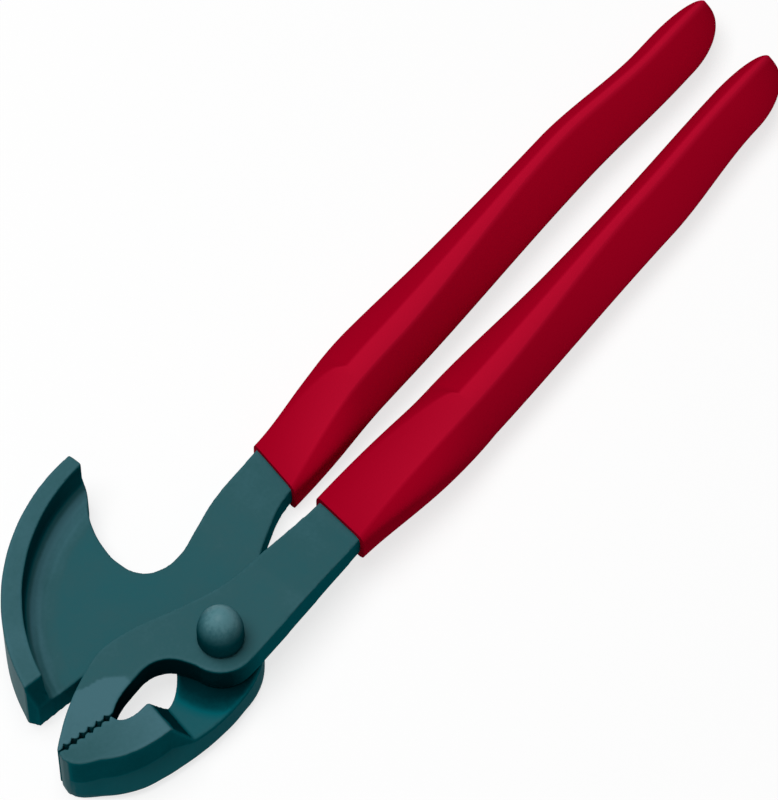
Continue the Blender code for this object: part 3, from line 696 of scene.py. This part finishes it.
def grip_tree():
    """A sleeve by rule: sections eased from seam to belly, neck and tail, with a rounded end
    and a mouth that turns in round the arm."""
    tree = bpy.data.node_groups.new("dipped_grip", "GeometryNodeTree")
    side = tree.interface
    side.new_socket("Mesh", in_out="INPUT", socket_type="NodeSocketGeometry")
    for name in [*GRIP_SIZES, *ROCKER_GRIP_SIZES]:
        side.new_socket(name, in_out="INPUT", socket_type="NodeSocketFloat")
    side.new_socket("Rings Along", in_out="INPUT", socket_type="NodeSocketInt")
    side.new_socket("Points Around", in_out="INPUT", socket_type="NodeSocketInt")
    side.new_socket("Finish", in_out="INPUT", socket_type="NodeSocketMaterial")
    side.new_socket("Mesh", in_out="OUTPUT", socket_type="NodeSocketGeometry")
    given = add(tree, "NodeGroupInput").outputs

    # A flat sheet: each of its rows becomes a ring of the sleeve, turned by half a step
    around = add(tree, MATH, (given["Points Around"], 1.0), operation="ADD")
    sheet = add(
        tree,
        "GeometryNodeMeshGrid",
        {"Size X": 1.0, "Size Y": 1.0, "Vertices X": given["Rings Along"], "Vertices Y": around},
    )
    spot = add(tree, "ShaderNodeSeparateXYZ", (add(tree, "GeometryNodeInputPosition"),)).outputs
    step = add(tree, MATH, (0.5, given["Points Around"]), operation="DIVIDE")
    turned = add(tree, MATH, (spot["Y"], step), operation="ADD")
    angle = add(tree, MATH, (turned, 2 * math.pi), operation="MULTIPLY")
    last = add(tree, MATH, (given["Rings Along"], 1.0), operation="SUBTRACT")
    share = add(tree, MATH, (spot["X"], 0.5), operation="ADD")
    ring = add(tree, MATH, (share, last), operation="MULTIPLY")

    # The rings run from inside the mouth across the lip, then along the body and round the end
    lip_end = MOUTH_RINGS + LIP_RINGS
    cap_start = add(tree, MATH, (last, CAP_RINGS), operation="SUBTRACT")
    inner = add(tree, RANGE, (ring, 0.0, MOUTH_RINGS, given["Mouth Depth"], 0.0))
    inset = add(tree, RANGE, (ring, MOUTH_RINGS, lip_end, given["Wall"], 0.0))
    body = add(tree, RANGE, (ring, lip_end, cap_start, 0.0, 1.0))
    turn = add(tree, RANGE, (ring, cap_start, last, 0.0, math.pi / 2))
    cap_x = add(tree, MATH, (given["End X"], given["Cap Length"]), operation="SUBTRACT")
    straight = add(tree, MATH, (cap_x, given["Seam X"]), operation="SUBTRACT")
    station = add(tree, MATH, (straight, body, given["Seam X"]), operation="MULTIPLY_ADD")
    bend = add(tree, MATH, (turn,), operation="SINE")
    station = add(tree, MATH, (given["Cap Length"], bend, station), operation="MULTIPLY_ADD")
    shrink = add(tree, MATH, (turn,), operation="COSINE")

    def eased(values):
        """The value at the station, eased from place to place."""
        total = values[0]
        for near, far, start, end in zip(PLACES, PLACES[1:], values, values[1:]):
            change = add(tree, MATH, (end, start), operation="SUBTRACT")
            part = add(
                tree,
                RANGE,
                (station, given[near + " X"], given[far + " X"], 0.0, change),
                interpolation_type="SMOOTHSTEP",
            )
            total = add(tree, MATH, (total, part), operation="ADD")
        return total

    def half(name):
        """Half of the section's width or depth, drawn in at the mouth and shrunk at the end."""
        whole = eased([given[place + name] for place in PLACES])
        size = add(tree, MATH, (whole, 0.5), operation="MULTIPLY")
        size = add(tree, MATH, (size, inset), operation="SUBTRACT")
        return add(tree, MATH, (size, shrink), operation="MULTIPLY")

    def lobe(wave, start, size, fullness):
        """A coordinate of the section: flat to start, then curved out to size."""
        power = add(tree, MATH, (2.0, fullness), operation="DIVIDE")
        swing = add(tree, MATH, (wave,), operation="ABSOLUTE")
        swing = add(tree, MATH, (swing, power), operation="POWER")
        run = add(tree, MATH, (size, start), operation="SUBTRACT")
        reach = add(tree, MATH, (swing, run, start), operation="MULTIPLY_ADD")
        sign = add(tree, MATH, (wave,), operation="SIGN")
        return add(tree, MATH, (reach, sign), operation="MULTIPLY")

    handle_y = [
        add(
            tree,
            MATH,
            (given["Side"], given[place + " Offset"], given["Middle Y"]),
            operation="MULTIPLY_ADD",
        )
        for place in PLACES[1:]
    ]
    middle_y = eased([given["Seam Y"]] + handle_y)
    middle_z = eased([given["Seam Z"]] + [given["Middle Z"]] * len(handle_y))
    half_width = half(" Width")
    half_depth = half(" Depth")

    # The left flank swells where its crest starts, and the right one between there and the mouth
    across = add(tree, MATH, (angle,), operation="COSINE")
    front = add(tree, MATH, (angle,), operation="SINE")
    hand = add(tree, MATH, (across,), operation="SIGN")
    face = add(tree, MATH, (front,), operation="SIGN")
    near_mouth = add(tree, RANGE, (station, given["Seam X"], given["Crest X"], 1.0, 0.0))
    run_end = add(tree, MATH, (given["Crest X"], given["Swell Run"]), operation="ADD")
    run_out = add(
        tree,
        RANGE,
        (station, given["Crest X"], run_end, given["Left Swell"], 0.0),
        interpolation_type="SMOOTHSTEP",
    )
    left_swell = add(
        tree,
        RANGE,
        (near_mouth, 1.0, 0.0, given["Left Trim"], run_out),
        interpolation_type="SMOOTHSTEP",
    )
    arch = add(tree, MATH, (near_mouth, math.pi), operation="MULTIPLY")
    arch = add(tree, MATH, (arch,), operation="SINE")
    right_swell = add(tree, MATH, (arch, given["Right Swell"]), operation="MULTIPLY")
    swell = add(tree, RANGE, (hand, -1.0, 1.0, right_swell, left_swell))
    half_width = add(tree, MATH, (half_width, swell), operation="ADD")

    # The flat front and back of the arm run out as wedges into the crests of the handle
    power = add(tree, RANGE, (hand, -1.0, 1.0, given["Right Wedge"], given["Left Wedge"]))
    power = add(tree, RANGE, (face, -1.0, 1.0, given["Back Wedge"], power))
    wedge = add(tree, MATH, (near_mouth, power), operation="POWER")
    corner = add(tree, MATH, (given["Seam Corner"], half_width), operation="MINIMUM")
    flat = add(tree, MATH, (half_width, corner), operation="SUBTRACT")
    crests = [given[place + " Crest"] for place in PLACES[1:]]
    crest = add(tree, MATH, (eased(crests[:1] + crests), 0.5), operation="MULTIPLY")
    crest = add(tree, MATH, (crest, shrink), operation="MULTIPLY")
    excess = add(tree, MATH, (flat, crest), operation="SUBTRACT")
    flat = add(tree, MATH, (excess, wedge, crest), operation="MULTIPLY_ADD")
    slope = add(tree, RANGE, (hand, -1.0, 1.0, given["Right Fullness"], given["Left Fullness"]))
    y = lobe(across, flat, half_width, slope)

    # The crests carry a painted highlight, a paler tone, and the flat at the mouth a share of it
    off_crest = add(tree, MATH, (y,), operation="ABSOLUTE")
    off_crest = add(tree, MATH, (off_crest, flat), operation="SUBTRACT")
    crest_highlight = add(tree, RANGE, (off_crest, 0.0, given["Crest Fade"], 1.0, 0.0))
    least = add(tree, RANGE, (hand, -1.0, 1.0, FLAT_HIGHLIGHT_SHARE, 0.0))
    narrow = add(tree, RANGE, (wedge, 0.0, 1.0, 1.0, least))
    thin = add(tree, MATH, (crest_highlight, narrow), operation="MULTIPLY")

    # The section rises to the front and back, leans over and is set on the handle's middle line
    ends = (given["Seam Fullness"], given["Belly Fullness"])
    fullness = add(
        tree,
        RANGE,
        (station, given["Seam X"], given["Crest X"], *ends),
        interpolation_type="SMOOTHSTEP",
    )
    rise = lobe(front, 0.0, 1.0, fullness)
    lean = eased([0.0] + [given[place + " Lean"] for place in PLACES[1:]])
    lean = add(tree, MATH, (lean, shrink), operation="MULTIPLY")
    y = add(tree, MATH, (lean, rise, y), operation="MULTIPLY_ADD")
    z = add(tree, MATH, (rise, half_depth), operation="MULTIPLY")
    slant = add(
        tree,
        RANGE,
        (station, given["Seam X"], given["Belly X"], given["Seam Slant"], 0.0),
        interpolation_type="SMOOTHSTEP",
    )
    x = add(tree, MATH, (station, inner), operation="ADD")
    x = add(tree, MATH, (slant, y, x), operation="MULTIPLY_ADD")
    drawn = add(tree, MATH, (1.0, shrink), operation="SUBTRACT")
    middle_y = add(tree, MATH, (given["Cap Lean"], drawn, middle_y), operation="MULTIPLY_ADD")
    y = add(tree, MATH, (middle_y, y), operation="ADD")
    z = add(tree, MATH, (middle_z, z), operation="ADD")
    where = add(tree, "ShaderNodeCombineXYZ", (x, y, z))
    # The painted crest highlight is kept on the points for the vinyl
    marked = add(
        tree,
        "GeometryNodeStoreNamedAttribute",
        {"Geometry": sheet, "Name": "crest", "Value": thin},
        data_type="FLOAT",
        domain="POINT",
    )
    shaped = add(tree, "GeometryNodeSetPosition", {"Geometry": marked, "Position": where})
    closed = add(
        tree, "GeometryNodeMergeByDistance", {"Geometry": shaped, "Distance": POLE_MERGE}
    )
    real = add(tree, "GeometryNodeRealizeInstances", (closed,))
    finish = add(tree, "GeometryNodeSetMaterial", {"Geometry": real, "Material": given["Finish"]})
    add(tree, "NodeGroupOutput", {"Mesh": finish})
    return tree


def dipped_grip(node, name, body, tree, sizes, finish):
    """A grip from the sleeve's rule, closed inside its mouth."""
    piece = link_piece(name, bpy.data.meshes.new(name))
    counts = {"Rings Along": RINGS_ALONG, "Points Around": POINTS_AROUND}
    run_tree(piece, tree, {**GRIP_SIZES, **sizes, **counts, "Finish": finish})
    shape = bmesh.new()
    shape.from_mesh(piece.data)
    mouth = [edge for edge in shape.edges if edge.is_boundary]
    bmesh.ops.contextual_create(shape, geom=mouth)
    bmesh.ops.recalc_face_normals(shape, faces=shape.faces)
    shape.to_mesh(piece.data)
    shape.free()
    finish_piece(piece, node, body, GRIP_CRISP)


def studio():
    """A white board to lie on, one large soft lamp overhead and a weak one in front."""
    board = bpy.data.meshes.new("studio_board")
    reach = (-BOARD_SIZE, BOARD_SIZE)
    board.from_pydata([(x, y, 0) for x in reach for y in reach], [], [(0, 2, 3, 1)])
    board.materials.append(studio_board("matt white board", BOARD_SEEN, BOARD_BOUNCE))
    link_piece("studio_board", board)
    for name, (away, size, power) in SOFTBOXES.items():
        lamp = bpy.data.lights.new(name, "AREA")
        lamp.shape = "SQUARE"
        lamp.size = size
        lamp.energy = power
        holder = bpy.data.objects.new(name, lamp)
        holder.location = TOOL_MIDDLE + away
        holder.rotation_euler = away.to_track_quat("Z", "Y").to_euler()
        bpy.context.scene.collection.objects.link(holder)
    world = bpy.data.worlds.new("studio")
    bpy.context.scene.world = world
    world.use_nodes = True
    tree = world.node_tree
    sky = tree.nodes["Background"]
    sky.inputs["Color"].default_value = WHITE
    level = add(tree, RANGE, (seen_rays(tree), 0.0, 1.0, WORLD_FILL, 1.0))
    tree.links.new(level.outputs["Result"], sky.inputs["Strength"])


def camera():
    """Long lens, 60 degrees above the tool's plane, off the jaws' end of it."""
    data = bpy.data.cameras.new("camera")
    data.lens = LENS
    data.sensor_width = SENSOR_WIDTH
    data.clip_start = CLIP_START
    data.clip_end = CLIP_END
    holder = bpy.data.objects.new("camera", data)
    holder.location = VIEW_TARGET + VIEW_BACK * VIEW_DISTANCE
    holder.rotation_euler = VIEW_BACK.to_track_quat("Z", "Y").to_euler()
    bpy.context.scene.collection.objects.link(holder)
    bpy.context.scene.camera = holder


def main():
    """Makes the materials, the pieces, the studio and the camera."""
    # Colours of the coats, from the painted shade in the hollows to the walls, the faces with their
    # painted sheen, and the palest: the ground nose and the rivet's painted highlight
    lever_coat = ("012A30", "055F68", "2D5B61", "3E6C76")
    rivet_coat = ("011C22", "03454C", "3A6C74", "56858D")
    steel = coated_forging(
        "forged steel, dark teal coating", lever_coat, roughness=0.5, bump=0.25, mottle=0.14
    )
    rivet_steel = coated_forging(
        "rivet steel, dark teal coating", rivet_coat, roughness=0.42, bump=0.6, mottle=0.4
    )
    vinyl = dipped_vinyl(
        "red plastisol vinyl, dipped", body="A80021", crest="C20E30", roughness=0.4
    )
    teeth = tooth_tree()
    rocker, jaw = ROCKER_GRIP_SIZES, JAW_GRIP_SIZES
    forged_lever(
        "rocker_lever", "forged_rocker_lever", "rocker_side", steel, teeth, rocker, upper_jaw=False
    )
    forged_lever("jaw_lever", "forged_jaw_lever", "jaw_side", steel, teeth, jaw, upper_jaw=True)
    domed_rivet("pivot_rivet", "domed_pivot_rivet", "rocker_side", rivet_steel)
    sleeve = grip_tree()
    dipped_grip("rocker_lever_grip", "dipped_rocker_grip", "rocker_side", sleeve, rocker, vinyl)
    dipped_grip("jaw_lever_grip", "dipped_jaw_grip", "jaw_side", sleeve, jaw, vinyl)
    studio()
    camera()
    bpy.context.scene.view_settings.view_transform = "Standard"


main()
